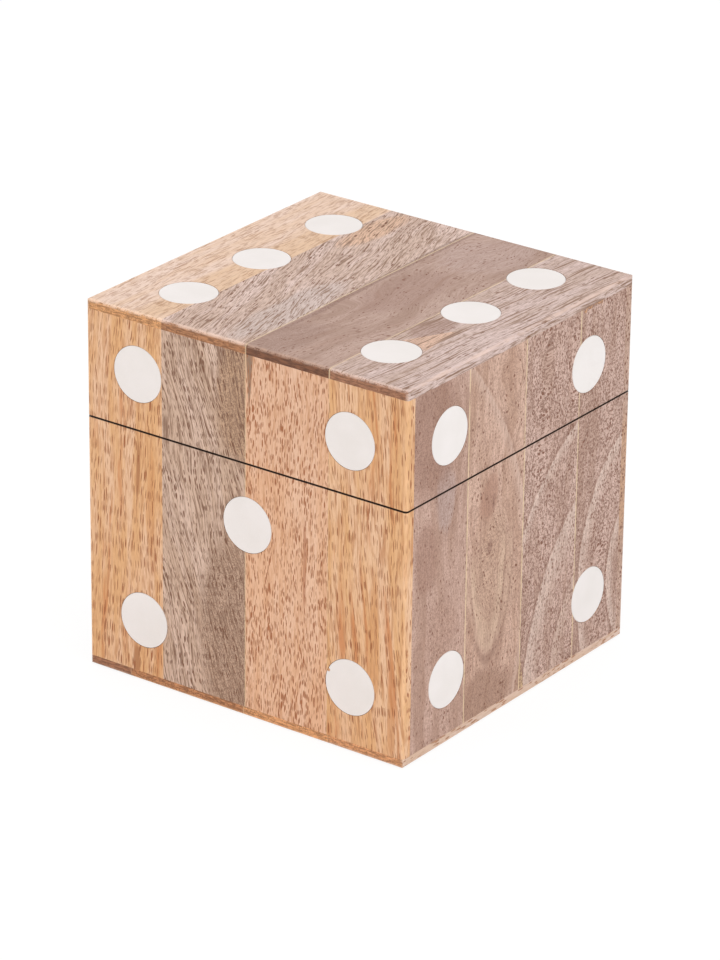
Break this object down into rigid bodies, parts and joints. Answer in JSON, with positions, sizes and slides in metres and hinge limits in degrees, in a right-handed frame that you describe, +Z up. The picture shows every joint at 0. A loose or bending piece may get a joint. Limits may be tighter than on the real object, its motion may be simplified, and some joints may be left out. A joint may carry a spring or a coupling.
{
  "type": "dice box with hinged lid",
  "caption": "Small cubic wooden box made to look like a die, clad in strips of mixed wood with round inlaid pips, with a lid that is hinged at the back",
  "frame": {"origin": "middle of the underside, on the surface that the box stands on", "axes": "+X to the box's right as its front is faced, +Y from the front to the back, where the hinges are, and +Z up"},
  "size_m": [0.127, 0.1285, 0.1295],
  "materials": {
    "board": "matte",
    "golden_wood": "satin",
    "grey_wood": "satin",
    "mauve_wood": "satin",
    "pale_wood": "satin",
    "inlay": "satin",
    "brass": "satin"
  },
  "bodies": {
    "base": {"base_floor_board": "board", "base_front_board": "board", "base_back_board": "board", "base_left_board": "board", "base_right_board": "board", "bottom_strip_1": "mauve_wood", "bottom_strip_2": "golden_wood", "bottom_strip_3": "golden_wood", "bottom_strip_4": "golden_wood", "base_front_strip_1": "golden_wood", "base_front_strip_2": "grey_wood", "base_front_strip_3": "golden_wood", "base_front_strip_4": "golden_wood", "base_right_strip_1": "mauve_wood", "base_right_strip_2": "mauve_wood", "base_right_strip_3": "mauve_wood", "base_right_strip_4": "mauve_wood", "base_back_strip_1": "golden_wood", "base_back_strip_2": "grey_wood", "base_back_strip_3": "golden_wood", "base_back_strip_4": "golden_wood", "base_left_strip_1": "mauve_wood", "base_left_strip_2": "mauve_wood", "base_left_strip_3": "mauve_wood", "base_left_strip_4": "mauve_wood", "base_pips": "inlay", "bottom_pip": "inlay", "hinge_base_leaves": "brass", "hinge_base_screws": "brass", "hinge_pins": "brass"},
    "lid": {"lid_top_board": "board", "lid_front_board": "board", "lid_back_board": "board", "lid_left_board": "board", "lid_right_board": "board", "top_strip_1": "pale_wood", "top_strip_2": "grey_wood", "top_strip_3": "mauve_wood", "top_strip_4": "grey_wood", "lid_front_strip_1": "golden_wood", "lid_front_strip_2": "grey_wood", "lid_front_strip_3": "golden_wood", "lid_front_strip_4": "golden_wood", "lid_right_strip_1": "mauve_wood", "lid_right_strip_2": "mauve_wood", "lid_right_strip_3": "mauve_wood", "lid_right_strip_4": "mauve_wood", "lid_back_strip_1": "golden_wood", "lid_back_strip_2": "grey_wood", "lid_back_strip_3": "golden_wood", "lid_back_strip_4": "golden_wood", "lid_left_strip_1": "mauve_wood", "lid_left_strip_2": "mauve_wood", "lid_left_strip_3": "mauve_wood", "lid_left_strip_4": "mauve_wood", "lid_pips": "inlay", "top_pips": "inlay", "hinge_lid_leaves": "brass", "hinge_lid_screws": "brass"}
  },
  "joints": [
    {"name": "lid_hinge", "type": "hinge", "parent": "base", "child": "lid", "pos_m": [0, 0.0644, 0.0888], "axis": [-1, 0, 0], "range_deg": [0, 180]}
  ]
}
